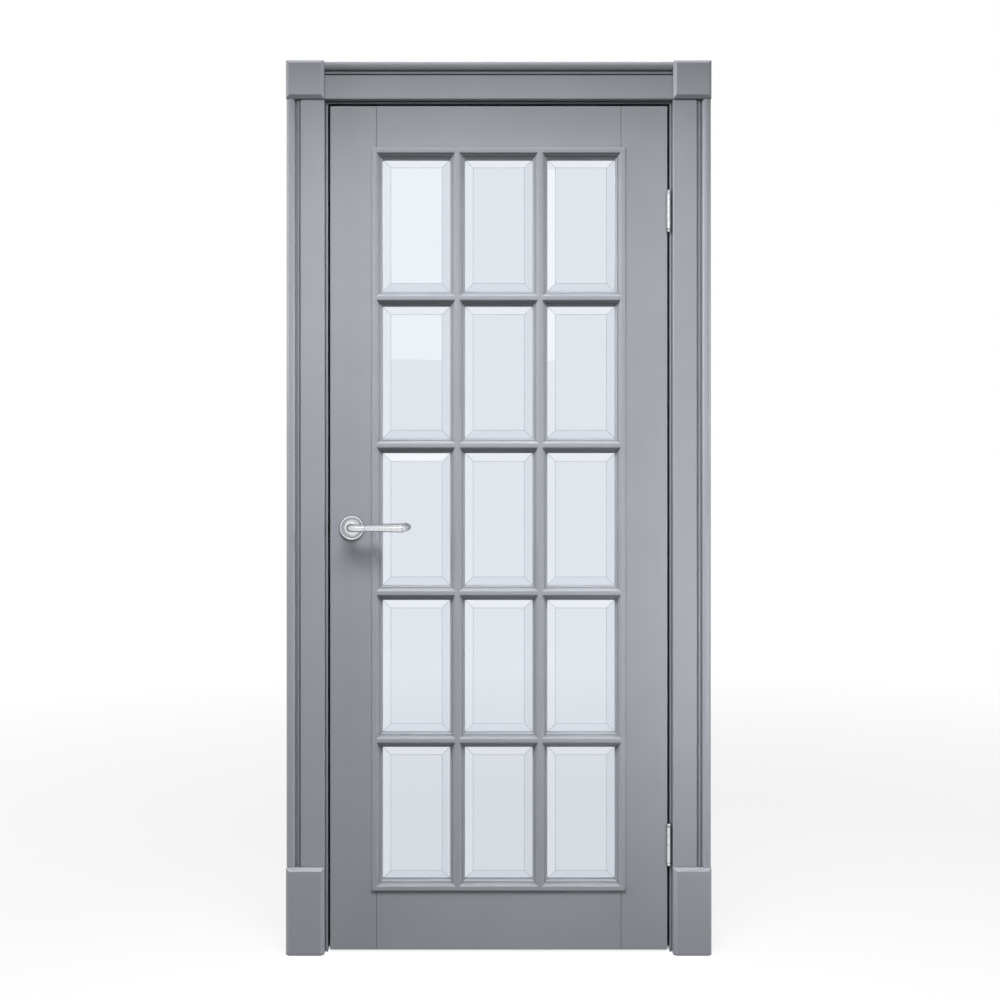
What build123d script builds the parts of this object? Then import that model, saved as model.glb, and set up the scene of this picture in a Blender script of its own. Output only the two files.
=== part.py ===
from build123d import *
import os

# A glazed interior door set. A stile-and-rail leaf holds bevelled panes in a lattice of moulded bars and
# hangs on two lift-off hinges in a lined opening. Casings, corner blocks and plinth blocks trim both faces
# of the wall.
# The origin is on the outer face of the hinge jamb, at floor level, in the plane of the front wall face.
# +X points out of the hinge jamb, +Y through the doorway to the back, +Z up. Lengths are in millimetres.

# Leaf
LEAF_WIDTH = 800.0
LEAF_HEIGHT = 2000.0
LEAF_THICKNESS = 40.0
LEAF_EDGE_ROUND = 2.0
STILE_WIDTH = 110.0
TOP_RAIL_HEIGHT = 110.0
BOTTOM_RAIL_HEIGHT = 150.5
JOINT_GROOVE = 1.3           # each half of the V along a joint of stile and rail

# Bars and mouldings around the panes
COLUMNS = 3
ROWS = 5
BAR_WIDTH = 35.0
BAR_PROUD = 5.0              # ridge ahead of the leaf's face
RIDGE_WIDTH = 5.8
OVOLO_RADIUS = 4.6
OVOLO_STEP = 0.8             # foot of the ovolo above the fillet
FILLET_WIDTH = 3.2
FILLET_RISE = 1.6
LEDGE_SETBACK = 6.0          # ledge below the fillet, behind the leaf's face
LIP_WIDTH = 4.2              # slope from the sight line up to the ledge
LIP_RISE = 4.8
MOULDING_WIDTH = 24.5
MOULDING_LAP = 11.0          # overlap on stiles and rails
MOULDING_ROUND = 3.0

# Panes
GLASS_THICKNESS = 6.0
GLASS_SETBACK = 14.5         # front of a pane behind the leaf's face
GLASS_BITE = 8.0             # pane edge hidden behind a bar
GLASS_EDGE_GAP = 0.5
GLASS_CLEARANCE = 0.3
BEVEL_WIDTH = 27.5
BEVEL_DEPTH = 3.0

# Frame in the wall
LEAF_GAP = 5.0               # around the leaf at both sides, head and floor
JAMB_THICKNESS = 30.0
FRAME_DEPTH = 100.0
STOP_THICKNESS = 12.0
SEAL_THICKNESS = 3.2
SEAL_WIDTH = 9.0
SEAL_CLEARANCE = 0.3

# Trim on the wall faces
CASING_WIDTH = 90.0
CASING_REVEAL = 6.0          # jamb edge left showing
REVEAL_GROOVE_WIDTH = 1.5    # shadow line in the jamb along the casing
REVEAL_GROOVE_DEPTH = 6.0
CASING_THICKNESS = 16.0
CASING_CREST = 20.0          # highest line of the outer round band
CASING_EDGE = 11.0           # thickness at the outer edge
BAND_WIDTH = 22.2
BEAD_WIDTH = 4.6
BEAD_HEIGHT = 4.3            # above the floor of the quirks beside it
QUIRK_WIDTH = 3.4
QUIRK_DEPTH = 6.5
CASING_INNER_ROUND = 3.0
CASING_ARRIS_ROUND = 1.5
BLOCK_THICKNESS = 28.0
BLOCK_BEVEL = 7.5
PLINTH_HEIGHT = 205.0

# Hinges
HINGE_FROM_END = 250.0       # hinge centre from the leaf's top or bottom
HINGE_HEIGHT = 80.0
HINGE_PLATE_THICKNESS = 2.5
HINGE_PLATE_DEPTH = 30.0
HINGE_AXIS_OUT = 5.5         # pin ahead of the leaf's face
PIN_RADIUS = 3.0
PIN_CLEARANCE = 0.1
PIN_END_CLEARANCE = 0.5
KNUCKLE_GAP = 0.3
CAP_THICKNESS = 3.0          # closed top of the upper knuckle
FINIAL_COLLAR_RADIUS = 5.8
FINIAL_COLLAR_HEIGHT = 2.0
FINIAL_NECK_RADIUS = 3.2
FINIAL_NECK_HEIGHT = 1.5
FINIAL_BALL_RADIUS = 4.4

# Lever handle
HANDLE_HEIGHT = 1005.0       # spindle above the floor
HANDLE_BACKSET = 52.0        # spindle from the latch edge of the leaf
ROSE_RADIUS = 29.0
ROSE_BASE = 3.0
ROSE_RIM_WIDTH = 6.4
ROSE_RIM_HEIGHT = 6.0
ROSE_GROOVE_WIDTH = 2.4
ROSE_GROOVE_FLOOR = 3.5
ROSE_DOME_EDGE = 5.5
ROSE_DOME_HEIGHT = 11.0
NECK_RADIUS = 9.0
NECK_CLEARANCE = 0.5
LEVER_STANDOFF = 48.0        # lever's centre line ahead of the leaf's face
LEVER_LENGTH = 135.0         # spindle to the tip
ELBOW_RADIUS = 13.0
COLLAR_START = 30.0
COLLAR_WIDTH = 4.5
COLLAR_RADIUS = 9.8
GRIP_ROOT_RADIUS = 7.4
GRIP_END_RADIUS = 11.0
RING_WIDTH = 3.0
RING_PROUD = 0.7
TIP_LENGTH = 11.0
TIP_RADIUS = 9.4
SPINDLE_SIZE = 8.0
SPINDLE_SOCKET = 20.0        # spindle held inside each lever's neck
SPINDLE_BORE_RADIUS = 8.0

# Latch in the leaf's edge and strike in the jamb
LATCH_PLATE_THICKNESS = 3.0
LATCH_PLATE_WIDTH = 20.0
LATCH_PLATE_HEIGHT = 150.0
LATCH_BOLT_WIDTH = 10.0
LATCH_BOLT_HEIGHT = 18.0
LATCH_BOLT_LENGTH = 25.0
LATCH_CLEARANCE = 0.3
STRIKE_THICKNESS = 2.0
STRIKE_WIDTH = 24.0
STRIKE_HEIGHT = 70.0
STRIKE_MARGIN = 1.5          # strike's window around the bolt
STRIKE_POCKET_DEPTH = 15.0

# Places that follow from the sizes above
JAMB_FACE = LEAF_WIDTH / 2 + LEAF_GAP
CENTRE_X = -(JAMB_FACE + JAMB_THICKNESS)
LEAF_LEFT = CENTRE_X - LEAF_WIDTH / 2
LEAF_RIGHT = CENTRE_X + LEAF_WIDTH / 2
LEAF_BOTTOM = LEAF_GAP
LEAF_TOP = LEAF_BOTTOM + LEAF_HEIGHT
JAMB_LEFT = CENTRE_X - JAMB_FACE
JAMB_RIGHT = CENTRE_X + JAMB_FACE
HEAD_FACE = LEAF_TOP + LEAF_GAP
HEAD_TOP = HEAD_FACE + JAMB_THICKNESS
STOP_FACE = LEAF_THICKNESS + SEAL_CLEARANCE + SEAL_THICKNESS
CASING_INNER = JAMB_RIGHT + CASING_REVEAL
CASING_BOTTOM = HEAD_FACE + CASING_REVEAL
GLASS_BACK = GLASS_SETBACK + GLASS_THICKNESS
SIGHT_INSET = MOULDING_WIDTH - MOULDING_LAP
SIGHT_LEFT = LEAF_LEFT + STILE_WIDTH + SIGHT_INSET
SIGHT_RIGHT = LEAF_RIGHT - STILE_WIDTH - SIGHT_INSET
SIGHT_BOTTOM = LEAF_BOTTOM + BOTTOM_RAIL_HEIGHT + SIGHT_INSET
SIGHT_TOP = LEAF_TOP - TOP_RAIL_HEIGHT - SIGHT_INSET
PANE_WIDTH = (SIGHT_RIGHT - SIGHT_LEFT - (COLUMNS - 1) * BAR_WIDTH) / COLUMNS
PANE_HEIGHT = (SIGHT_TOP - SIGHT_BOTTOM - (ROWS - 1) * BAR_WIDTH) / ROWS
RIDGE_INSET = (BAR_WIDTH - RIDGE_WIDTH) / 2
HINGE_X = (LEAF_RIGHT + JAMB_RIGHT) / 2
BARREL_RADIUS = LEAF_GAP / 2 + HINGE_PLATE_THICKNESS
HINGE_CENTRES = (LEAF_TOP - HINGE_FROM_END, LEAF_BOTTOM + HINGE_FROM_END)
HANDLE_X = LEAF_LEFT + HANDLE_BACKSET

CENTRE_PLANE = Plane(origin=(CENTRE_X, 0, 0), z_dir=(1, 0, 0))
WALL_MIDDLE = Plane(origin=(0, FRAME_DEPTH / 2, 0), z_dir=(0, 1, 0))
LEAF_MIDDLE = Plane(origin=(0, LEAF_THICKNESS / 2, 0), z_dir=(0, 1, 0))


def slab(x, y, z):
    """A box between two coordinates on each axis."""
    spans = (x, y, z)
    middle = [(low + high) / 2 for low, high in spans]
    return Pos(*middle) * Box(*[high - low for low, high in spans])


def outline(*edges):
    """A flat face inside a closed run of edges."""
    return make_face(Curve() + list(edges))


def turned(*edges):
    """A solid of revolution about Z from edges drawn as radius and height."""
    return revolve(Plane.XZ * outline(*edges), Axis.Z)


def quarter_round(start, end, hollow):
    """A quarter of a circle or a flatter arc from start to end, bulging away from the point hollow."""
    reach = 0.5 ** 0.5
    middle = tuple(h + reach * ((s - h) + (e - h)) for s, e, h in zip(start, end, hollow))
    return ThreePointArc(start, middle, end)


def reveal_groove():
    """The fine groove that runs round the lining beside the front casings."""
    depth = (0, REVEAL_GROOVE_DEPTH)
    inset = CASING_REVEAL - REVEAL_GROOVE_WIDTH
    outer = slab((JAMB_LEFT - CASING_REVEAL, CASING_INNER), depth, (0, CASING_BOTTOM))
    return outer - slab((JAMB_LEFT - inset, JAMB_RIGHT + inset), depth, (0, HEAD_FACE + inset))


def lining():
    """Jambs, head, stops and seal: the frame that stands in the wall."""
    depth = (0, FRAME_DEPTH)
    stop_depth = (STOP_FACE, FRAME_DEPTH)
    stop_bottom = HEAD_FACE - STOP_THICKNESS
    hinge_jamb = slab((JAMB_RIGHT, 0), depth, (0, HEAD_TOP))
    latch_jamb = mirror(hinge_jamb, about=CENTRE_PLANE)
    stop = slab((JAMB_RIGHT - STOP_THICKNESS, JAMB_RIGHT), stop_depth, (0, stop_bottom))
    seal_depth = (STOP_FACE - SEAL_THICKNESS, STOP_FACE)
    seal = slab((JAMB_LEFT, JAMB_RIGHT), seal_depth, (0, HEAD_FACE))
    seal -= slab((JAMB_LEFT + SEAL_WIDTH, JAMB_RIGHT - SEAL_WIDTH), seal_depth, (0, HEAD_FACE - SEAL_WIDTH))
    head_jamb = slab((JAMB_LEFT, JAMB_RIGHT), depth, (HEAD_FACE, HEAD_TOP))
    groove = reveal_groove()
    for cut in (groove, mirror(groove, about=WALL_MIDDLE)):
        hinge_jamb -= cut
        latch_jamb -= cut
        head_jamb -= cut
    for centre in HINGE_CENTRES:
        hinge_jamb -= hinge_plate(centre)
    return {
        "hinge_jamb": hinge_jamb,
        "latch_jamb": latch_jamb - strike_blank() - strike_pocket(),
        "head_jamb": head_jamb,
        "side_stops": [stop, mirror(stop, about=CENTRE_PLANE)],
        "head_stop": slab((JAMB_LEFT, JAMB_RIGHT), stop_depth, (stop_bottom, HEAD_FACE)),
        "frame_seal": seal,
    }


def casing_section():
    """The casing across its width: u from the inner edge outwards, v forward from the wall."""
    flat_end = CASING_WIDTH - BAND_WIDTH - BEAD_WIDTH - 2 * QUIRK_WIDTH
    floor = CASING_THICKNESS - QUIRK_DEPTH
    bead_start = flat_end + QUIRK_WIDTH
    bead_end = bead_start + BEAD_WIDTH
    bead_spring = floor + BEAD_HEIGHT - BEAD_WIDTH / 2
    bead_top = ((bead_start + bead_end) / 2, floor + BEAD_HEIGHT)
    band_start = bead_end + QUIRK_WIDTH
    inner_low = (0, CASING_THICKNESS - CASING_INNER_ROUND)
    inner_high = (CASING_INNER_ROUND, CASING_THICKNESS)
    arris_high = (flat_end - CASING_ARRIS_ROUND, CASING_THICKNESS)
    arris_low = (flat_end, CASING_THICKNESS - CASING_ARRIS_ROUND)
    return outline(
        Line((0, 0), inner_low),
        quarter_round(inner_low, inner_high, (inner_high[0], inner_low[1])),
        Line(inner_high, arris_high),
        quarter_round(arris_high, arris_low, (arris_high[0], arris_low[1])),
        Polyline(arris_low, (flat_end, floor), (bead_start, floor), (bead_start, bead_spring)),
        ThreePointArc((bead_start, bead_spring), bead_top, (bead_end, bead_spring)),
        Polyline((bead_end, bead_spring), (bead_end, floor), (band_start, floor)),
        ThreePointArc(
            (band_start, floor), ((band_start + CASING_WIDTH) / 2, CASING_CREST), (CASING_WIDTH, CASING_EDGE)
        ),
        Polyline((CASING_WIDTH, CASING_EDGE), (CASING_WIDTH, 0), (0, 0)),
    )


def trim():
    """Casings, corner blocks and plinth blocks, on the front of the wall and repeated on its back."""
    across = (CASING_INNER, CASING_INNER + CASING_WIDTH)
    proud = (-BLOCK_THICKNESS, 0)
    side_plane = Plane(origin=(CASING_INNER, 0, CASING_BOTTOM), x_dir=(1, 0, 0), z_dir=(0, 0, -1))
    side = extrude(side_plane * casing_section(), CASING_BOTTOM - PLINTH_HEIGHT)
    head_length = 2 * (CASING_INNER - CENTRE_X)
    head_start = (CASING_INNER - head_length, 0, CASING_BOTTOM)
    head_plane = Plane(origin=head_start, x_dir=(0, 0, 1), z_dir=(1, 0, 0))
    head = extrude(head_plane * casing_section(), head_length)
    block = slab(across, proud, (CASING_BOTTOM, CASING_BOTTOM + CASING_WIDTH))
    block = chamfer(block.faces().sort_by(Axis.Y)[0].edges(), BLOCK_BEVEL)
    plinth = slab(across, proud, (0, PLINTH_HEIGHT))
    plinth = chamfer(plinth.faces().sort_by(Axis.Y)[0].edges().sort_by(Axis.Z)[1:], BLOCK_BEVEL)
    front = {
        "casing_right": side,
        "casing_left": mirror(side, about=CENTRE_PLANE),
        "casing_head": head,
        "corner_block_right": block,
        "corner_block_left": mirror(block, about=CENTRE_PLANE),
        "plinth_right": plinth,
        "plinth_left": mirror(plinth, about=CENTRE_PLANE),
    }
    pieces = {}
    for name, shape in front.items():
        pieces["front_" + name] = shape
        pieces["back_" + name] = mirror(shape, about=WALL_MIDDLE)
    return pieces


def leaf_frame():
    """Stiles and rails, with a fine V along each joint and softened outer edges."""
    depth = (0, LEAF_THICKNESS)
    rail_span = (LEAF_LEFT + STILE_WIDTH, LEAF_RIGHT - STILE_WIDTH)
    stile = slab((LEAF_RIGHT - STILE_WIDTH, LEAF_RIGHT), depth, (LEAF_BOTTOM, LEAF_TOP))
    stile = chamfer(stile.edges().filter_by(Axis.Z).group_by(Axis.X)[0], JOINT_GROOVE)
    outer_edges = stile.edges().filter_by(Axis.Z).group_by(Axis.X)[-1]
    top_edges = stile.edges().filter_by(Axis.X).group_by(Axis.Z)[-1]
    stile = fillet(outer_edges + top_edges, LEAF_EDGE_ROUND)
    top_rail = slab(rail_span, depth, (LEAF_TOP - TOP_RAIL_HEIGHT, LEAF_TOP))
    top_rail = chamfer(top_rail.edges().filter_by(Axis.Z), JOINT_GROOVE)
    top_rail = fillet(top_rail.edges().filter_by(Axis.X).group_by(Axis.Z)[-1], LEAF_EDGE_ROUND)
    bottom_rail = slab(rail_span, depth, (LEAF_BOTTOM, LEAF_BOTTOM + BOTTOM_RAIL_HEIGHT))
    bottom_rail = chamfer(bottom_rail.edges().filter_by(Axis.Z), JOINT_GROOVE)
    hinge_stile = stile
    for centre in HINGE_CENTRES:
        hinge_stile -= mirror(hinge_plate(centre), about=Plane(origin=(HINGE_X, 0, 0), z_dir=(1, 0, 0)))
    spindle_bore = handle_plane() * Cylinder(SPINDLE_BORE_RADIUS, 2 * LEAF_THICKNESS + HANDLE_BACKSET)
    latch_stile = mirror(stile, about=CENTRE_PLANE) - spindle_bore - latch_blank() - latch_pocket()
    return {
        "hinge_stile": hinge_stile,
        "latch_stile": latch_stile,
        "top_rail": top_rail,
        "bottom_rail": bottom_rail,
    }


def bevel_depth_at(inset):
    """How far a pane's front lies behind the leaf's face, at a distance outside the sight line."""
    return GLASS_SETBACK + BEVEL_DEPTH * (BEVEL_WIDTH - GLASS_BITE + inset) / BEVEL_WIDTH


def front_seat(end):
    """Back of a front bar: it follows the pane's bevel, then closes the gap between the panes."""
    web = GLASS_BITE + GLASS_EDGE_GAP
    return [
        (0, GLASS_CLEARANCE - bevel_depth_at(0)),
        (web, GLASS_CLEARANCE - bevel_depth_at(web)),
        (web, -GLASS_BACK),
        (end, -GLASS_BACK),
    ]


def back_seat(end):
    """Back of a back bar: flat against the panes."""
    seat = GLASS_BACK - LEAF_THICKNESS
    return [(0, seat), (end, seat)]


def moulded_edges(sight_depth):
    """The moulded slope from the sight line up to the ridge: u inwards from the sight line, v forward."""
    foot = (RIDGE_INSET - OVOLO_RADIUS, BAR_PROUD - OVOLO_RADIUS)
    ridge = (RIDGE_INSET, BAR_PROUD)
    fillet_start = foot[0] - FILLET_WIDTH
    fillet_high = foot[1] - OVOLO_STEP
    return [
        Polyline(
            (0, sight_depth),
            (0, -LEDGE_SETBACK - LIP_RISE),
            (LIP_WIDTH, -LEDGE_SETBACK),
            (fillet_start, -LEDGE_SETBACK),
            (fillet_start, fillet_high - FILLET_RISE),
            (foot[0], fillet_high),
            foot,
        ),
        quarter_round(foot, ridge, (ridge[0], foot[1])),
    ]


def bar_section(seat_of):
    """A whole bar across its width, centred on the origin."""
    centre = BAR_WIDTH / 2
    seat = seat_of(centre)
    closing = Polyline((RIDGE_INSET, BAR_PROUD), (centre, BAR_PROUD), seat[-1])
    half = outline(*moulded_edges(seat[0][1]), closing, Polyline(*seat))
    half = Pos(-centre, 0) * half
    return half + mirror(half, about=Plane.YZ)


def moulding_section(seat_of):
    """The moulding around the panes: the bar's inner half and a lap over the stile."""
    lap_start = SIGHT_INSET
    seat = seat_of(lap_start)
    round_high = (MOULDING_WIDTH - MOULDING_ROUND, BAR_PROUD)
    round_low = (MOULDING_WIDTH, BAR_PROUD - MOULDING_ROUND)
    return outline(
        *moulded_edges(seat[0][1]),
        Line((RIDGE_INSET, BAR_PROUD), round_high),
        quarter_round(round_high, round_low, (round_high[0], round_low[1])),
        Polyline(round_low, (MOULDING_WIDTH, 0), (lap_start, 0), seat[-1]),
        Polyline(*seat),
    )


def mitre_prism(*corners):
    """An upright prism through the leaf over a polygon of x and z."""
    face_plane = Plane(origin=(0, 0, 0), x_dir=(1, 0, 0), z_dir=(0, -1, 0))
    return extrude(face_plane * make_face(Polyline(*corners, close=True)), LEAF_THICKNESS, both=True)


def leaf_surround():
    """The leaf as one blank with only the glazed opening cut out: where no bar may reach."""
    depth = (0, LEAF_THICKNESS)
    blank = slab((LEAF_LEFT, LEAF_RIGHT), depth, (LEAF_BOTTOM, LEAF_TOP))
    return blank - slab(
        (LEAF_LEFT + STILE_WIDTH, LEAF_RIGHT - STILE_WIDTH),
        depth,
        (LEAF_BOTTOM + BOTTOM_RAIL_HEIGHT, LEAF_TOP - TOP_RAIL_HEIGHT),
    )


def lattice(seat_of):
    """Mouldings and bars of the front face, with horizontals running through and uprights scribed to them."""
    surround = leaf_surround()
    left, right = SIGHT_LEFT - MOULDING_WIDTH, SIGHT_RIGHT + MOULDING_WIDTH
    low, high = SIGHT_BOTTOM - MOULDING_WIDTH, SIGHT_TOP + MOULDING_WIDTH
    section = moulding_section(seat_of)
    side_plane = Plane(origin=(SIGHT_RIGHT, 0, high), x_dir=(1, 0, 0), z_dir=(0, 0, -1))
    side = extrude(side_plane * section, high - low) & mitre_prism(
        (right, low), (right, high), (SIGHT_RIGHT, SIGHT_TOP), (SIGHT_RIGHT, SIGHT_BOTTOM)
    )
    end_plane = Plane(origin=(left, 0, SIGHT_TOP), x_dir=(0, 0, 1), z_dir=(1, 0, 0))
    end = extrude(end_plane * section, right - left) & mitre_prism(
        (left, high), (right, high), (SIGHT_RIGHT, SIGHT_TOP), (SIGHT_LEFT, SIGHT_TOP)
    )
    lattice_middle = Plane(origin=(0, 0, (SIGHT_TOP + SIGHT_BOTTOM) / 2), z_dir=(0, 0, 1))
    sides = [side, mirror(side, about=CENTRE_PLANE)]
    ends = [end, mirror(end, about=lattice_middle)]

    section = bar_section(seat_of)
    across = SIGHT_RIGHT - SIGHT_LEFT + 2 * RIDGE_INSET
    bars = []
    for row in range(1, ROWS):
        z = SIGHT_TOP - row * (PANE_HEIGHT + BAR_WIDTH) + BAR_WIDTH / 2
        bar_plane = Plane(origin=(SIGHT_LEFT - RIDGE_INSET, 0, z), x_dir=(0, 0, 1), z_dir=(1, 0, 0))
        bar = extrude(bar_plane * section, across)
        for carrier in [surround, *sides]:
            bar -= carrier
        bars.append(bar)
    upright_length = SIGHT_TOP - SIGHT_BOTTOM + 2 * RIDGE_INSET
    uprights = []
    for column in range(1, COLUMNS):
        x = SIGHT_LEFT + column * (PANE_WIDTH + BAR_WIDTH) - BAR_WIDTH / 2
        bar_plane = Plane(origin=(x, 0, SIGHT_TOP + RIDGE_INSET), x_dir=(1, 0, 0), z_dir=(0, 0, -1))
        bar = extrude(bar_plane * section, upright_length)
        for carrier in [surround, *ends, *bars]:
            bar -= carrier
        uprights.append(bar)
    return {
        "moulding_sides": sides,
        "moulding_ends": ends,
        "bars_horizontal": bars,
        "bars_vertical": uprights,
    }


def glazing():
    """The lattice on both faces of the leaf and the rows of bevelled panes between them."""
    pieces = {}
    for name, shapes in lattice(front_seat).items():
        pieces["front_" + name] = shapes
    for name, shapes in lattice(back_seat).items():
        pieces["back_" + name] = [mirror(shape, about=LEAF_MIDDLE) for shape in shapes]
    width = PANE_WIDTH + 2 * GLASS_BITE
    height = PANE_HEIGHT + 2 * GLASS_BITE
    slab_thickness = GLASS_THICKNESS - BEVEL_DEPTH
    pane = extrude(Rectangle(width, height), slab_thickness)
    crown = Pos(0, 0, GLASS_THICKNESS) * Rectangle(width - 2 * BEVEL_WIDTH, height - 2 * BEVEL_WIDTH)
    pane += loft([Pos(0, 0, slab_thickness) * Rectangle(width, height), crown], ruled=True)
    for row in range(ROWS):
        z = SIGHT_TOP - PANE_HEIGHT / 2 - row * (PANE_HEIGHT + BAR_WIDTH)
        panes = []
        for column in range(COLUMNS):
            x = SIGHT_LEFT + PANE_WIDTH / 2 + column * (PANE_WIDTH + BAR_WIDTH)
            panes.append(Plane(origin=(x, GLASS_BACK, z), x_dir=(1, 0, 0), z_dir=(0, -1, 0)) * pane)
        pieces[f"glass_row_{row + 1}"] = panes
    return pieces


def hinge_plate(centre):
    """The frame plate of a hinge, which is also the shape of its mortise in the jamb."""
    return slab(
        (JAMB_RIGHT, JAMB_RIGHT + HINGE_PLATE_THICKNESS),
        (0, HINGE_PLATE_DEPTH),
        (centre - HINGE_HEIGHT / 2, centre + HINGE_HEIGHT / 2),
    )


def finial():
    """A collar, neck and ball that stand on the end of a hinge barrel."""
    neck_low = (FINIAL_NECK_RADIUS, FINIAL_COLLAR_HEIGHT)
    neck_high = (FINIAL_NECK_RADIUS, FINIAL_COLLAR_HEIGHT + FINIAL_NECK_HEIGHT)
    drop = (FINIAL_BALL_RADIUS ** 2 - FINIAL_NECK_RADIUS ** 2) ** 0.5
    ball_centre = neck_high[1] + drop
    return turned(
        Polyline(
            (0, 0),
            (FINIAL_COLLAR_RADIUS, 0),
            (FINIAL_COLLAR_RADIUS, FINIAL_COLLAR_HEIGHT),
            neck_low,
            neck_high,
        ),
        ThreePointArc(neck_high, (FINIAL_BALL_RADIUS, ball_centre), (0, ball_centre + FINIAL_BALL_RADIUS)),
        Line((0, ball_centre + FINIAL_BALL_RADIUS), (0, 0)),
    )


def hinge(centre):
    """A lift-off hinge: pin and lower knuckle on the jamb, socketed upper knuckle on the leaf."""
    low, high = centre - HINGE_HEIGHT / 2, centre + HINGE_HEIGHT / 2
    lower_top = centre - KNUCKLE_GAP / 2
    upper_bottom = centre + KNUCKLE_GAP / 2
    upright = Align.CENTER, Align.CENTER, Align.MIN
    axis_at = lambda z: Pos(HINGE_X, -HINGE_AXIS_OUT, z)
    pin_top = high - CAP_THICKNESS - PIN_END_CLEARANCE

    frame_plate = (JAMB_RIGHT, JAMB_RIGHT + HINGE_PLATE_THICKNESS)
    frame_half = hinge_plate(centre)
    frame_half += slab(frame_plate, (-HINGE_AXIS_OUT, 0), (low, lower_top))
    frame_half += axis_at(low) * Cylinder(BARREL_RADIUS, lower_top - low, align=upright)
    frame_half += axis_at(low) * Cylinder(PIN_RADIUS, pin_top - low, align=upright)
    frame_half += axis_at(low) * mirror(finial(), about=Plane.XY)

    leaf_plate = (LEAF_RIGHT - HINGE_PLATE_THICKNESS, LEAF_RIGHT)
    leaf_half = slab(leaf_plate, (0, HINGE_PLATE_DEPTH), (low, high))
    leaf_half += slab(leaf_plate, (-HINGE_AXIS_OUT, 0), (upper_bottom, high))
    leaf_half += axis_at(upper_bottom) * Cylinder(BARREL_RADIUS, high - upper_bottom, align=upright)
    leaf_half += axis_at(high) * finial()
    socket_depth = high - CAP_THICKNESS - upper_bottom
    leaf_half -= axis_at(upper_bottom) * Cylinder(PIN_RADIUS + PIN_CLEARANCE, socket_depth, align=upright)
    return frame_half, leaf_half


def hinges():
    """Both hinges, sorted into the halves on the frame and the halves on the leaf."""
    frame_halves, leaf_halves = zip(*[hinge(centre) for centre in HINGE_CENTRES])
    return {"hinge_frame_halves": list(frame_halves), "hinge_leaf_halves": list(leaf_halves)}


def handle_plane():
    """On the leaf's front face at the spindle, with its normal towards the front."""
    return Plane(origin=(HANDLE_X, 0, HANDLE_HEIGHT), x_dir=(1, 0, 0), z_dir=(0, -1, 0))


def rose():
    """The round rose: a raised rim, a groove and a low dome with the bore for the lever's neck."""
    bore = NECK_RADIUS + NECK_CLEARANCE
    rim_inner = ROSE_RADIUS - ROSE_RIM_WIDTH
    dome_outer = rim_inner - ROSE_GROOVE_WIDTH
    rim_low = (ROSE_RADIUS, ROSE_BASE)
    rim_top = (ROSE_RADIUS - ROSE_RIM_WIDTH / 2, ROSE_RIM_HEIGHT)
    groove_outer = (rim_inner, ROSE_GROOVE_FLOOR)
    groove_inner = (dome_outer, ROSE_GROOVE_FLOOR)
    dome_low = (dome_outer, ROSE_DOME_EDGE)
    dome_high = (bore, ROSE_DOME_HEIGHT)
    return turned(
        Polyline((bore, 0), (ROSE_RADIUS, 0), rim_low),
        ThreePointArc(rim_low, rim_top, groove_outer),
        Polyline(groove_outer, groove_inner, dome_low),
        TangentArc(dome_high, dome_low, tangent=(1, 0)),
        Line(dome_high, (bore, 0)),
    )


def lever():
    """A lever along +X from its neck on Z: elbow, collar, flared grip, end ring and domed tip."""
    collar_end = COLLAR_START + COLLAR_WIDTH
    tip_start = LEVER_LENGTH - TIP_LENGTH
    ring_start = tip_start - RING_WIDTH
    ring_radius = GRIP_END_RADIUS + RING_PROUD
    collar_middle = COLLAR_START + COLLAR_WIDTH / 2
    neck_foot = Pos(0, 0, NECK_CLEARANCE)
    root_line = FilletPolyline(
        (0, 0, NECK_CLEARANCE),
        (0, 0, LEVER_STANDOFF),
        (collar_middle, 0, LEVER_STANDOFF),
        radius=ELBOW_RADIUS,
    )
    body = sweep(neck_foot * Circle(NECK_RADIUS), path=root_line)
    grip = outline(
        Polyline(
            (COLLAR_START, 0),
            (COLLAR_START, COLLAR_RADIUS),
            (collar_end, COLLAR_RADIUS),
            (collar_end, GRIP_ROOT_RADIUS),
            (ring_start, GRIP_END_RADIUS),
            (ring_start, ring_radius),
            (tip_start, ring_radius),
            (tip_start, TIP_RADIUS),
        ),
        TangentArc((LEVER_LENGTH, 0), (tip_start, TIP_RADIUS), tangent=(0, 1)),
        Line((LEVER_LENGTH, 0), (COLLAR_START, 0)),
    )
    body += Pos(0, 0, LEVER_STANDOFF) * revolve(grip, Axis.X)
    socket = Box(SPINDLE_SIZE, SPINDLE_SIZE, SPINDLE_SOCKET, align=(Align.CENTER, Align.CENTER, Align.MIN))
    return body - neck_foot * socket


def handles():
    """Roses and levers on both faces and the square spindle that joins the levers."""
    front_rose = handle_plane() * rose()
    front_lever = handle_plane() * lever()
    spindle_end = NECK_CLEARANCE + SPINDLE_SOCKET
    spindle = slab(
        (HANDLE_X - SPINDLE_SIZE / 2, HANDLE_X + SPINDLE_SIZE / 2),
        (-spindle_end, LEAF_THICKNESS + spindle_end),
        (HANDLE_HEIGHT - SPINDLE_SIZE / 2, HANDLE_HEIGHT + SPINDLE_SIZE / 2),
    )
    return {
        "front_rose": front_rose,
        "back_rose": mirror(front_rose, about=LEAF_MIDDLE),
        "front_lever": front_lever,
        "back_lever": mirror(front_lever, about=LEAF_MIDDLE),
        "spindle": spindle,
    }


def latch_block(x, width, height):
    """A block on the latch's centre line, between two x coordinates."""
    middle = LEAF_THICKNESS / 2
    return slab(
        x,
        (middle - width / 2, middle + width / 2),
        (HANDLE_HEIGHT - height / 2, HANDLE_HEIGHT + height / 2),
    )


def latch_blank():
    """The latch's face plate before its window is cut, which is also its mortise."""
    return latch_block((LEAF_LEFT, LEAF_LEFT + LATCH_PLATE_THICKNESS), LATCH_PLATE_WIDTH, LATCH_PLATE_HEIGHT)


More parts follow.
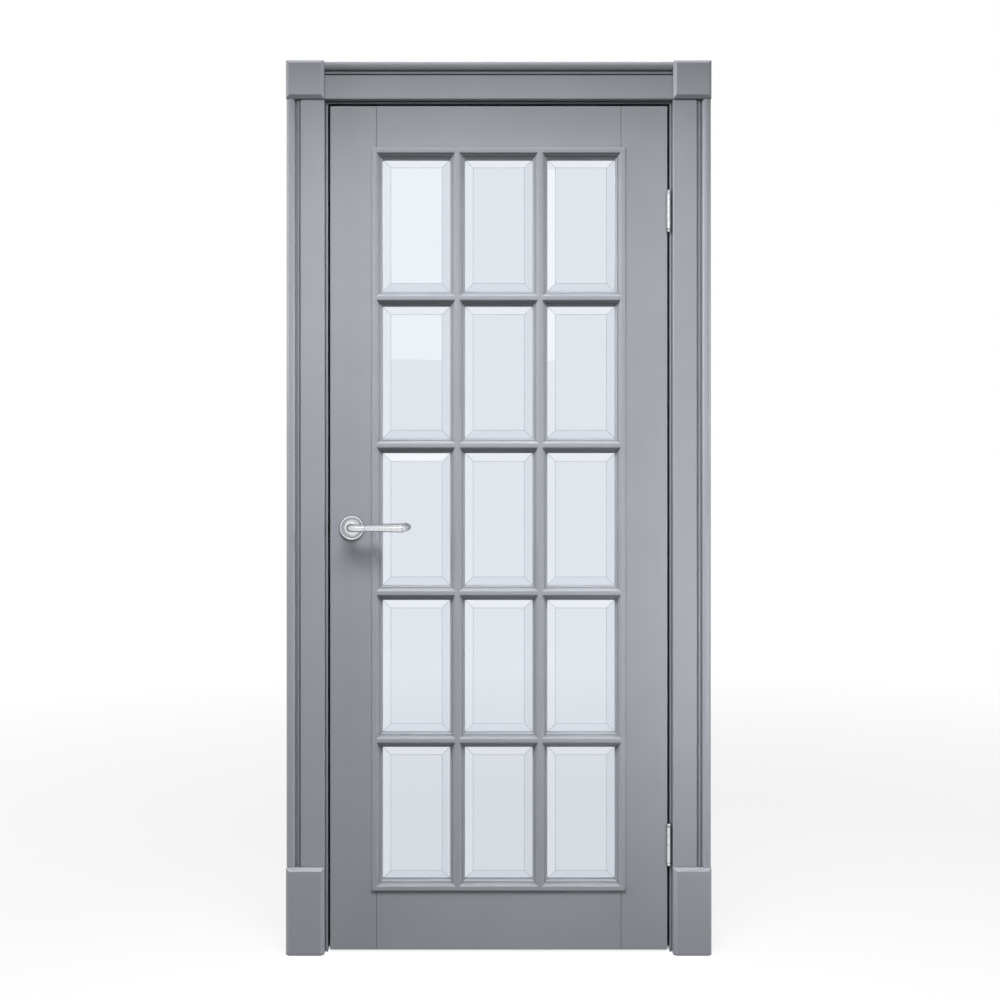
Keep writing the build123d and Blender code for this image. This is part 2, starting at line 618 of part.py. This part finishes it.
def latch_pocket():
    """The space for the bolt in the stile, a clearance larger than the bolt on all sides."""
    return latch_block(
        (LEAF_LEFT, LEAF_LEFT + LATCH_BOLT_LENGTH + LATCH_CLEARANCE),
        LATCH_BOLT_WIDTH + 2 * LATCH_CLEARANCE,
        LATCH_BOLT_HEIGHT + 2 * LATCH_CLEARANCE,
    )


def strike_blank():
    """The strike plate before its window is cut, which is also its mortise in the jamb."""
    return latch_block((JAMB_LEFT - STRIKE_THICKNESS, JAMB_LEFT), STRIKE_WIDTH, STRIKE_HEIGHT)


def strike_pocket():
    """The window and pocket that take the bolt when it springs out."""
    return latch_block(
        (JAMB_LEFT - STRIKE_POCKET_DEPTH, JAMB_LEFT),
        LATCH_BOLT_WIDTH + 2 * STRIKE_MARGIN,
        LATCH_BOLT_HEIGHT + 2 * STRIKE_MARGIN,
    )


def latch():
    """The latch's face plate with its withdrawn bolt, and the strike plate in the latch jamb."""
    bolt = latch_block((LEAF_LEFT, LEAF_LEFT + LATCH_BOLT_LENGTH), LATCH_BOLT_WIDTH, LATCH_BOLT_HEIGHT)
    return {
        "latch_faceplate": [latch_blank() - latch_pocket(), bolt],
        "strike_plate": strike_blank() - strike_pocket(),
    }


def main():
    """Build every piece and write it to a file of its own."""
    pieces = {
        **lining(),
        **trim(),
        **leaf_frame(),
        **glazing(),
        **hinges(),
        **handles(),
        **latch(),
    }
    os.makedirs("parts", exist_ok=True)
    for name, shape in pieces.items():
        shapes = shape if isinstance(shape, list) else [shape]
        solids = [solid for item in shapes for solid in item.solids()]
        export_step(solids[0] if len(solids) == 1 else Compound(solids), f"parts/{name}.step")


main()
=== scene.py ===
"""Looks of the glazed door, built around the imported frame: satin enamel, bevelled glass, bright fittings."""

import math

import bmesh
import bpy
from mathutils import Matrix, Vector


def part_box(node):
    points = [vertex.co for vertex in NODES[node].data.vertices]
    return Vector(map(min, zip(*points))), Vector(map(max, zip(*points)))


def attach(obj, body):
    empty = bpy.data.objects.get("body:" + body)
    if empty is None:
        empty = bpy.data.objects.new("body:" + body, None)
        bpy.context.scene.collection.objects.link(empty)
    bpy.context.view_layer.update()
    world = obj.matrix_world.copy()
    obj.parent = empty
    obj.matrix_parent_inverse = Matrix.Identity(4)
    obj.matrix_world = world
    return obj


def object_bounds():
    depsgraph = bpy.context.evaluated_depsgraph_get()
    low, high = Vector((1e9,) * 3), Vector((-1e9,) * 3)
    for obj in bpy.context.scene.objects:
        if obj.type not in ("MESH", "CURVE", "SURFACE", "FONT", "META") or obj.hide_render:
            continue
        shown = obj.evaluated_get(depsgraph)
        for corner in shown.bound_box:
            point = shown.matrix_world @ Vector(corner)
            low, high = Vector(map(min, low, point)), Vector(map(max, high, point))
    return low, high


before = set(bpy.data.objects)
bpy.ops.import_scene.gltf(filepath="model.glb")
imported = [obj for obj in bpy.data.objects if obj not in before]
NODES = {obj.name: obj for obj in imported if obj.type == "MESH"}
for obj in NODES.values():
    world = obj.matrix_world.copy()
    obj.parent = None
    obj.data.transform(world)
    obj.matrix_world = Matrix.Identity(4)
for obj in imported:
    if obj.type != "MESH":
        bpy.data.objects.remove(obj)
CAD_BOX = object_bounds()
MIDDLE = (CAD_BOX[0] + CAD_BOX[1]) / 2

# Camera, in metres: level, straight on, a little right of the door's middle
CAMERA_AT = (-0.432, -3.0, 1.0708)
LENS = 45.56
SENSOR = 36.0

# Enamel, as linear colours; painted shade darkens a recess over a reach in metres
PAINT_LIGHT = (0.330, 0.345, 0.378, 1.0)
PAINT_DARK = (0.312, 0.327, 0.360, 1.0)
ENAMEL_PAINTED_SHADE = (0.150, 0.157, 0.173, 1.0)
ENAMEL_SHADE_REACH = 0.014
PAINT_ROUGHNESS = (0.33, 0.41)
PAINT_IOR = 1.5
MOTTLE_SCALE = 7.0
SHEEN_SCALE = 38.0
PEEL_SCALE = 520.0
PEEL_HEIGHT = 0.00012
GRAIN_SCALE = 2400.0
GRAIN_HEIGHT = 0.00003
PEEL_STRENGTH = 0.35

# Plating, with painted shade in its grooves
CHROME_LIGHT = (0.72, 0.73, 0.75, 1.0)
CHROME_DARK = (0.58, 0.59, 0.61, 1.0)
CHROME_PAINTED_SHADE = (0.10, 0.10, 0.11, 1.0)
CHROME_SHADE_REACH = 0.0035
CHROME_ROUGHNESS = (0.12, 0.20)
HAZE_SCALE = 160.0

# Share of open sky at which the painted shade in a recess is darkest and at which it ends
PAINTED_SHADE_SPAN = (0.25, 0.82)
PAINTED_SHADE_SAMPLES = 8

# Glass, with a tint for each side of the bevel: painted light on the upper and left sides, painted shade on
# the lower and right
GLASS_TINT = (0.74, 0.78, 0.84, 1.0)
GLASS_IOR = 1.52
WAVE_SCALE = 5.0
WAVE_HEIGHT = 0.0006
WAVE_STRENGTH = 0.12
BEVEL_SLOPE = 0.09           # part of a bevel's normal that leaves the pane's own
FLAT_SPAN = (0.42, 0.58)     # part of the slopes, from one bevel to the opposite one, that counts as flat
BEVEL_UPPER_PAINTED_LIGHT = (0.88, 0.91, 0.95, 1.0)
BEVEL_LOWER_PAINTED_SHADE = (0.62, 0.67, 0.74, 1.0)
BEVEL_LEFT_PAINTED_LIGHT = (1.10, 1.10, 1.09, 1.0)
BEVEL_RIGHT_PAINTED_SHADE = (0.86, 0.875, 0.89, 1.0)
ARRIS_LIGHT = (0.66, 0.70, 0.77, 1.0)
ARRIS_DARK = (0.54, 0.58, 0.65, 1.0)
ARRIS_ROUGHNESS = (0.18, 0.32)
ARRIS_CLEARNESS = 0.6
FROST_SCALE = 900.0

# Rubber
SEAL_LIGHT = (0.035, 0.036, 0.040, 1.0)
SEAL_DARK = (0.020, 0.021, 0.024, 1.0)
SEAL_ROUGHNESS = (0.55, 0.72)
SEAL_SCALE = 700.0
SEAL_HEIGHT = 0.0001
SEAL_STRENGTH = 0.4

# Edge softening of the square pieces, in metres
BLOCK_EDGE = 0.0009
LINING_EDGE = 0.0006
LINING_PIECES = ("head_jamb", "side_stops", "head_stop")
WELD_DISTANCE = 0.00001
EDGE_ANGLE = math.radians(20)
EDGE_SEGMENTS = 3

# Screws, in metres
SCREW_RADIUS = 0.0042
SCREW_PROUD = 0.0003
SCREW_SUNK = 0.0018
SCREW_CHAMFER = 0.0004
SCREW_SIDES = 32
CROSS_ARM = 0.0026
CROSS_HALF = 0.00055
CROSS_DEPTH = 0.0014
HINGE_HALF = 0.040           # half a hinge plate's height
HINGE_GAP = 0.005            # between the two plates of a closed hinge
HINGE_SCREWS = ((0.008, -0.028), (0.021, 0.0), (0.008, 0.028))   # depth in the wall, height from the middle
PLATE_SCREW_INSET = 0.010    # of a latch or strike screw from the plate's end

# Panes, in metres
PANE_COLUMNS = 3
PANE_WIDTH = 0.177           # with the edges hidden behind the bars
BEVEL_WIDTH = 0.0275
BEVEL_DEPTH = 0.003
ARRIS_HALF = 0.0004
ARRIS_PROUD = 0.00015

# Stage: white surroundings and a pale floor, in metres
WHITE = (1.0, 1.0, 1.0, 1.0)
FLOOR_SIZE = 12.0
FLOOR_COLOUR = (0.14, 0.14, 0.145, 1.0)
FLOOR_GLOW = 0.86
FLOOR_FADE = (1.6, 5.0)      # distances between which the floor turns white
AMBIENT_UP = 0.065
AMBIENT_SIDE = 0.042
AMBIENT_DOWN = 0.05          # share of the side's light that comes from below
AMBIENT_DUSK = -0.25         # height on the sky's globe below which that share is reached


class Shader:
    """A node tree with short calls to add and link its nodes."""

    def __init__(self, tree):
        self.tree = tree
        self.tree.nodes.clear()

    def node(self, kind, **inputs):
        made = self.tree.nodes.new("ShaderNode" + kind)
        for name, value in inputs.items():
            self.put(made.inputs[name.replace("_", " ")], value)
        return made

    def put(self, socket, value):
        if isinstance(value, bpy.types.NodeSocket):
            self.tree.links.new(value, socket)
        else:
            socket.default_value = value

    def noise(self, scale, detail=2.0):
        place = self.node("TexCoord")
        made = self.node("TexNoise", Vector=place.outputs["Object"], Scale=scale, Detail=detail)
        return made.outputs["Fac"]

    def mix(self, kind, factor, first, second):
        made = self.node("Mix")
        made.data_type = "RGBA"
        made.blend_type = kind
        self.put(made.inputs[0], factor)
        self.put(made.inputs[6], first)
        self.put(made.inputs[7], second)
        return made.outputs[2]

    def blend(self, factor, low, high):
        return self.mix("MIX", factor, low, high)

    def product(self, first, second):
        return self.mix("MULTIPLY", 1.0, first, second)

    def math(self, operation, first, second):
        made = self.node("Math")
        made.operation = operation
        self.put(made.inputs[0], first)
        self.put(made.inputs[1], second)
        return made.outputs[0]

    def span(self, factor, low, high, start=0.3, end=0.7):
        """Maps start..end, by default the middle of a noise, to low..high."""
        made = self.node("MapRange", Value=factor, From_Min=start, From_Max=end, To_Min=low, To_Max=high)
        return made.outputs["Result"]

    def painted_shade_mask(self, reach):
        """Mask for painted shade: 1 on open surfaces, falling to 0 in grooves and against walls that are
        nearer than reach.
        """
        made = self.node("AmbientOcclusion", Distance=reach)
        made.samples = PAINTED_SHADE_SAMPLES
        return self.span(made.outputs["AO"], 0.0, 1.0, *PAINTED_SHADE_SPAN)

    def ramp(self, factor, *stops):
        """A colour ramp with its stops given as pairs of place and colour."""
        made = self.node("ValToRGB", Fac=factor)
        points = made.color_ramp.elements
        while len(points) < len(stops):
            points.new(0.5)
        for point, (at, colour) in zip(points, stops):
            point.position = at
            point.color = colour
        return made.outputs["Color"]

    def bump(self, height, distance, strength=1.0, normal=None):
        made = self.node("Bump", Height=height, Distance=distance, Strength=strength)
        if normal is not None:
            self.put(made.inputs["Normal"], normal)
        return made.outputs["Normal"]

    def end(self, surface):
        out = self.node("OutputMaterial")
        self.put(out.inputs["Surface"], surface)


def new_material(name):
    made = bpy.data.materials.new(name)
    made.use_nodes = True
    return made, Shader(made.node_tree)


def paint_material():
    """Sprayed satin enamel: a faint mottle, an orange peel, an uneven sheen and painted shade in its recesses.
    """
    made, sh = new_material("satin_enamel")
    mottle = sh.span(sh.noise(MOTTLE_SCALE, 4.0), 0.0, 1.0)
    sheen = sh.span(sh.noise(SHEEN_SCALE, 3.0), *PAINT_ROUGHNESS)
    peel = sh.bump(sh.noise(PEEL_SCALE, 1.5), PEEL_HEIGHT, PEEL_STRENGTH)
    peel = sh.bump(sh.noise(GRAIN_SCALE, 2.0), GRAIN_HEIGHT, PEEL_STRENGTH, peel)
    mottle_and_painted_shade = sh.blend(mottle, PAINT_DARK, PAINT_LIGHT)
    # painted shade: the enamel's colour darkens in grooves, recesses and against walls
    mottle_and_painted_shade = sh.blend(sh.painted_shade_mask(ENAMEL_SHADE_REACH), ENAMEL_PAINTED_SHADE, mottle_and_painted_shade)
    body = sh.node("BsdfPrincipled", Base_Color=mottle_and_painted_shade, Roughness=sheen, IOR=PAINT_IOR, Normal=peel)
    sh.end(body.outputs["BSDF"])
    return made


def chrome_material():
    """Polished plated metal with a faint polishing haze, and painted shade in its grooves."""
    made, sh = new_material("bright_chrome")
    haze = sh.span(sh.noise(HAZE_SCALE, 3.0), 0.0, 1.0)
    haze_and_painted_shade = sh.blend(haze, CHROME_LIGHT, CHROME_DARK)
    # painted shade: the plating's colour darkens in its grooves
    haze_and_painted_shade = sh.blend(sh.painted_shade_mask(CHROME_SHADE_REACH), CHROME_PAINTED_SHADE, haze_and_painted_shade)
    polish = sh.span(haze, *CHROME_ROUGHNESS, 0.0, 1.0)
    body = sh.node("BsdfPrincipled", Base_Color=haze_and_painted_shade, Metallic=1.0, Roughness=polish)
    sh.end(body.outputs["BSDF"])
    return made


def glass_material():
    """Clear float glass: a cool tint, and bevels with painted light on the upper and left sides and painted
    shade on the lower and right.
    """
    made, sh = new_material("bevelled_glass")
    wave = sh.bump(sh.noise(WAVE_SCALE, 1.0), WAVE_HEIGHT, WAVE_STRENGTH)
    facing = sh.node("TexCoord")
    slope = sh.node("SeparateXYZ", Vector=facing.outputs["Normal"])
    upright = sh.span(slope.outputs["Z"], 0.0, 1.0, -BEVEL_SLOPE, BEVEL_SLOPE)
    sideways = sh.span(slope.outputs["X"], 0.0, 1.0, -BEVEL_SLOPE, BEVEL_SLOPE)
    flat_from, flat_to = FLAT_SPAN
    # painted light and shade: the bevels' tint is lighter on the upper and left sides, darker on the lower and
    # right
    tint = sh.ramp(
        upright, (0.0, BEVEL_LOWER_PAINTED_SHADE), (flat_from, GLASS_TINT), (flat_to, GLASS_TINT), (1.0, BEVEL_UPPER_PAINTED_LIGHT)
    )
    side_painted_light = sh.ramp(sideways, (0.0, BEVEL_LEFT_PAINTED_LIGHT), (flat_from, WHITE), (flat_to, WHITE), (1.0, BEVEL_RIGHT_PAINTED_SHADE))
    body = sh.node("BsdfPrincipled", Base_Color=sh.product(tint, side_painted_light), Roughness=0.0, IOR=GLASS_IOR)
    sh.put(body.inputs["Normal"], wave)
    sh.put(body.inputs["Transmission Weight"], 1.0)
    sh.end(body.outputs["BSDF"])
    return made


def arris_material():
    """The ground edge of a bevel: greyer than the pane and a little frosted."""
    made, sh = new_material("glass_arris")
    frost = sh.noise(FROST_SCALE, 2.0)
    tint = sh.blend(frost, ARRIS_DARK, ARRIS_LIGHT)
    matt = sh.span(frost, *ARRIS_ROUGHNESS)
    body = sh.node("BsdfPrincipled", Base_Color=tint, Roughness=matt, IOR=GLASS_IOR)
    sh.put(body.inputs["Transmission Weight"], ARRIS_CLEARNESS)
    sh.end(body.outputs["BSDF"])
    return made


def seal_material():
    """Dull dark rubber."""
    made, sh = new_material("rubber_seal")
    grain = sh.noise(SEAL_SCALE, 3.0)
    rubber = sh.blend(sh.span(grain, 0.0, 1.0), SEAL_DARK, SEAL_LIGHT)
    matt = sh.span(grain, *SEAL_ROUGHNESS)
    skin = sh.bump(grain, SEAL_HEIGHT, SEAL_STRENGTH)
    body = sh.node("BsdfPrincipled", Base_Color=rubber, Roughness=matt, Normal=skin)
    sh.end(body.outputs["BSDF"])
    return made


MATERIALS = {
    "paint": paint_material(),
    "chrome": chrome_material(),
    "glass": glass_material(),
    "arris": arris_material(),
    "seal": seal_material(),
}
PAINTED = bpy.data.collections.new("painted")


def dress_nodes():
    """Gives each CAD node the finish of the slot it was packed with, and gathers the painted ones."""
    for node in NODES.values():
        slot = node.material_slots[0].material.name
        for place in node.material_slots:
            place.material = MATERIALS[place.material.name]
        if slot == "paint":
            PAINTED.objects.link(node)


def soften(name, width):
    """Rounds a square piece's arrises as paint and sanding do."""
    weld = NODES[name].modifiers.new("weld", "WELD")
    weld.merge_threshold = WELD_DISTANCE
    edge = NODES[name].modifiers.new("edge", "BEVEL")
    edge.width = width
    edge.segments = EDGE_SEGMENTS
    edge.limit_method = "ANGLE"
    edge.angle_limit = EDGE_ANGLE
    edge.harden_normals = True


def soften_square_pieces():
    for name in NODES:
        if "block" in name or "plinth" in name:
            soften(name, BLOCK_EDGE)
        if name in LINING_PIECES:
            soften(name, LINING_EDGE)


def add_piece(name, shape, material, body):
    """Turns a bmesh into a piece that rides on a body."""
    bmesh.ops.recalc_face_normals(shape, faces=shape.faces)
    mesh = bpy.data.meshes.new(name)
    shape.to_mesh(mesh)
    shape.free()
    mesh.materials.append(MATERIALS[material])
    piece = bpy.data.objects.new(name, mesh)
    bpy.context.scene.collection.objects.link(piece)
    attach(piece, body)


def add_ring(shape, points, place, height):
    return [shape.verts.new(place @ Vector((x, y, height))) for x, y in points]


def join_rings(shape, lower, upper):
    for k in range(len(lower)):
        after = (k + 1) % len(lower)
        shape.faces.new((lower[k], lower[after], upper[after], upper[k]))


def circle_outline(radius):
    turns = [2 * math.pi * k / SCREW_SIDES for k in range(SCREW_SIDES)]
    return [(radius * math.cos(turn), radius * math.sin(turn)) for turn in turns]


def cross_outline(arm, half):
    """Corners of a cross, in order round it."""
    quarter = ((arm, -half), (arm, half), (half, half))
    corners = []
    for turn in range(4):
        spin = Matrix.Rotation(turn * math.pi / 2, 2)
        corners += [spin @ Vector(point) for point in quarter]
    return corners


def add_screw(shape, at, outward):
    """A countersunk screw head with a cross recess, almost flush in its plate and facing outward."""
    place = Matrix.Translation(at) @ Vector(outward).to_track_quat("Z", "Y").to_matrix().to_4x4()
    wide = circle_outline(SCREW_RADIUS)
    cross = cross_outline(CROSS_ARM, CROSS_HALF)
    foot = add_ring(shape, wide, place, -SCREW_SUNK)
    rim = add_ring(shape, wide, place, 0.0)
    crown = add_ring(shape, circle_outline(SCREW_RADIUS - SCREW_CHAMFER), place, SCREW_PROUD)
    mouth = add_ring(shape, cross, place, SCREW_PROUD)
    floor = add_ring(shape, cross, place, SCREW_PROUD - CROSS_DEPTH)
    join_rings(shape, foot, rim)
    join_rings(shape, rim, crown)
    join_rings(shape, floor, mouth)
    shape.faces.new(foot)
    shape.faces.new(floor)
    edges = []
    for loop in (crown, mouth):
        for k, vert in enumerate(loop):
            edges.append(shape.edges.get((vert, loop[(k + 1) % len(loop)])))
    bmesh.ops.triangle_fill(shape, edges=edges, use_beauty=True)


def make_hinge_screws():
    """Three screws in each plate of each hinge."""
    frame_low, frame_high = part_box("hinge_frame_halves")
    leaf_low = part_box("hinge_leaf_halves")[0]
    axis = (frame_low.x + frame_high.x) / 2
    centres = (leaf_low.z + HINGE_HALF, frame_high.z - HINGE_HALF)
    for name, body, side in (("frame_hinge_screws", "frame", 1), ("leaf_hinge_screws", "leaf", -1)):
        shape = bmesh.new()
        for centre in centres:
            for depth, rise in HINGE_SCREWS:
                add_screw(shape, (axis + side * HINGE_GAP / 2, depth, centre + rise), (-side, 0, 0))
        add_piece(name, shape, "chrome", body)


def make_plate_screws(name, node, body, side):
    """Two screws in a latch or strike plate, whose face looks to the given side along X."""
    low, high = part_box(node)
    face = low.x if side < 0 else high.x
    shape = bmesh.new()
    for z in (low.z + PLATE_SCREW_INSET, high.z - PLATE_SCREW_INSET):
        add_screw(shape, (face, (low.y + high.y) / 2, z), (side, 0, 0))
    add_piece(name, shape, "chrome", body)


def add_arris(shape, start, end):
    """A fine ground ridge on a pane's front, from start to end."""
    along = (end - start).normalized()
    side = along.cross(Vector((0, 1, 0))).normalized() * ARRIS_HALF
    rise = Vector((0, -ARRIS_PROUD, 0))
    ends = []
    for point in (start, end):
        ends.append([shape.verts.new(p) for p in (point - side - rise, point + side - rise, point + rise)])
    join_rings(shape, *ends)
    shape.faces.new(ends[0])
    shape.faces.new(ends[1])


def add_pane_arrises(shape, left, low, high):
    """Ridges of one pane: round its flat, and from each corner of the flat to the pane's own corner."""
    right = left + PANE_WIDTH
    corners = ((left, low.z, 1, 1), (right, low.z, -1, 1), (right, high.z, -1, -1), (left, high.z, 1, -1))
    outer = [Vector((x, low.y + BEVEL_DEPTH, z)) for x, z, a, b in corners]
    inner = [Vector((x + a * BEVEL_WIDTH, low.y, z + b * BEVEL_WIDTH)) for x, z, a, b in corners]
    for k in range(len(corners)):
        add_arris(shape, inner[k], inner[(k + 1) % len(corners)])
        add_arris(shape, inner[k], outer[k])


def make_arrises():
    """The ridges of each row of panes, as one piece a row."""
    for name in NODES:
        if not name.startswith("glass_row"):
            continue
        low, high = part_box(name)
        pitch = (high.x - low.x - PANE_WIDTH) / (PANE_COLUMNS - 1)
        shape = bmesh.new()
        for column in range(PANE_COLUMNS):
            add_pane_arrises(shape, low.x + column * pitch, low, high)
        add_piece(name.replace("glass", "arrises"), shape, "arris", "leaf")


def seen_rays(sh):
    """1 for the rays that look at the surroundings: from the camera, off metal and through glass."""
    path = sh.node("LightPath")
    total = path.outputs["Is Camera Ray"]
    for kind in ("Is Glossy Ray", "Is Transmission Ray"):
        total = sh.math("MAXIMUM", total, path.outputs[kind])
    return total


def make_world():
    """White where it is seen, and a soft light from above for the rest."""
    world = bpy.data.worlds.new("studio")
    world.use_nodes = True
    bpy.context.scene.world = world
    sh = Shader(world.node_tree)
    place = sh.node("TexCoord")
    split = sh.node("SeparateXYZ", Vector=place.outputs["Generated"])
    upper = sh.span(split.outputs["Z"], AMBIENT_SIDE, AMBIENT_UP, 0.0, 1.0)
    lower = sh.span(split.outputs["Z"], AMBIENT_DOWN, 1.0, AMBIENT_DUSK, 0.0)
    fill = sh.node("Background", Strength=sh.math("MULTIPLY", upper, lower))
    white = sh.node("Background", Color=WHITE, Strength=1.0)
    mix = sh.node("MixShader", Fac=seen_rays(sh))
    sh.put(mix.inputs[1], fill.outputs[0])
    sh.put(mix.inputs[2], white.outputs[0])
    out = sh.node("OutputWorld")
    sh.put(out.inputs["Surface"], mix.outputs[0])


def floor_material():
    """Pale floor that takes the shadow and reads as white where it is lit."""
    made, sh = new_material("pale_floor")
    matt = sh.node("BsdfDiffuse", Color=FLOOR_COLOUR)
    place = sh.node("NewGeometry")
    away = sh.node("VectorMath", Vector=place.outputs["Position"])
    away.operation = "LENGTH"
    level = sh.span(away.outputs["Value"], FLOOR_GLOW, 1.0, *FLOOR_FADE)
    glow = sh.node("Emission", Color=WHITE, Strength=sh.math("MULTIPLY", seen_rays(sh), level))
    both = sh.node("AddShader")
    sh.put(both.inputs[0], matt.outputs[0])
    sh.put(both.inputs[1], glow.outputs[0])
    sh.end(both.outputs[0])
    return made


def make_floor():
    mesh = bpy.data.meshes.new("floor")
    half = FLOOR_SIZE / 2
    turns = ((-1, -1), (1, -1), (1, 1), (-1, 1))
    corners = [(MIDDLE.x + a * half, MIDDLE.y + b * half, 0.0) for a, b in turns]
    mesh.from_pydata(corners, [], [(0, 1, 2, 3)])
    mesh.materials.append(floor_material())
    floor = bpy.data.objects.new("floor", mesh)
    bpy.context.scene.collection.objects.link(floor)


def softbox(name, at, target, size, power, spread=180.0):
    """A soft rectangular light that is felt and reflected, but not looked at."""
    data = bpy.data.lights.new(name, "AREA")
    data.shape = "RECTANGLE"
    data.size, data.size_y = size
    data.energy = power
    data.spread = math.radians(spread)
    light = bpy.data.objects.new(name, data)
    bpy.context.scene.collection.objects.link(light)
    light.location = at
    light.rotation_euler = (Vector(target) - Vector(at)).to_track_quat("-Z", "Y").to_euler()
    light.visible_camera = False
    light.visible_transmission = False
    return light


def fill_light(name, **values):
    """A softbox that is felt, but shows in no reflection."""
    softbox(name, **values).visible_glossy = False


def paint_light(name, **values):
    """A softbox that lights the painted pieces alone."""
    softbox(name, **values).light_linking.receiver_collection = PAINTED


def sheen_light(name, **values):
    """A softbox that only shows as a reflection."""
    softbox(name, **values).visible_diffuse = False


def make_lights():
    """Light from above and in front, raking light from the sides, one behind, and a sheen on the glass."""
    x = MIDDLE.x
    fill_light("top_front", at=(x, -1.49, 2.83), target=(x, -1.89, 1.91), size=(1.6, 1.7), power=139.0)
    fill_light("top_over", at=(x, -0.10, 3.00), target=(x, 0.0, 1.50), size=(1.6, 0.3), power=12.0)
    softbox(
        "left_high",
        at=(-2.79, -2.32, 3.00),
        target=(-0.79, 0.0, 1.38),
        size=(0.5, 1.2),
        power=1.5,
        spread=112.0,
    )
    softbox(
        "right_low",
        at=(1.65, -3.02, 0.50),
        target=(0.20, 0.0, 0.72),
        size=(0.63, 0.66),
        power=1.1,
        spread=25.8,
    )
    paint_light("left_side", at=(-5.90, -0.80, 2.40), target=(-0.60, 0.0, 1.40), size=(0.8, 1.6), power=135.0)
    paint_light(
        "right_side",
        at=(5.00, -0.72, 2.00),
        target=(-0.40, 0.0, 0.30),
        size=(0.8, 0.9),
        power=8.0,
        spread=50.0,
    )
    paint_light("back_softbox", at=(x, 3.0, 3.0), target=(x, 0.0, 1.1), size=(2.4, 1.8), power=150.0)
    sheen_light(
        "window_sheen",
        at=(-0.95, -3.3, 2.25),
        target=(-0.62, 0.0, 1.65),
        size=(0.62, 0.95),
        power=4.2,
    )


def make_camera():
    data = bpy.data.cameras.new("camera")
    data.lens = LENS
    data.sensor_width = SENSOR
    camera = bpy.data.objects.new("camera", data)
    bpy.context.scene.collection.objects.link(camera)
    camera.location = CAMERA_AT
    camera.rotation_euler = (math.radians(90), 0.0, 0.0)
    bpy.context.scene.camera = camera


dress_nodes()
soften_square_pieces()
make_hinge_screws()
make_plate_screws("latch_screws", "latch_faceplate", "leaf", -1)
make_plate_screws("strike_screws", "strike_plate", "frame", 1)
make_arrises()
make_world()
make_floor()
make_lights()
make_camera()
bpy.context.scene.view_settings.view_transform = "Standard"
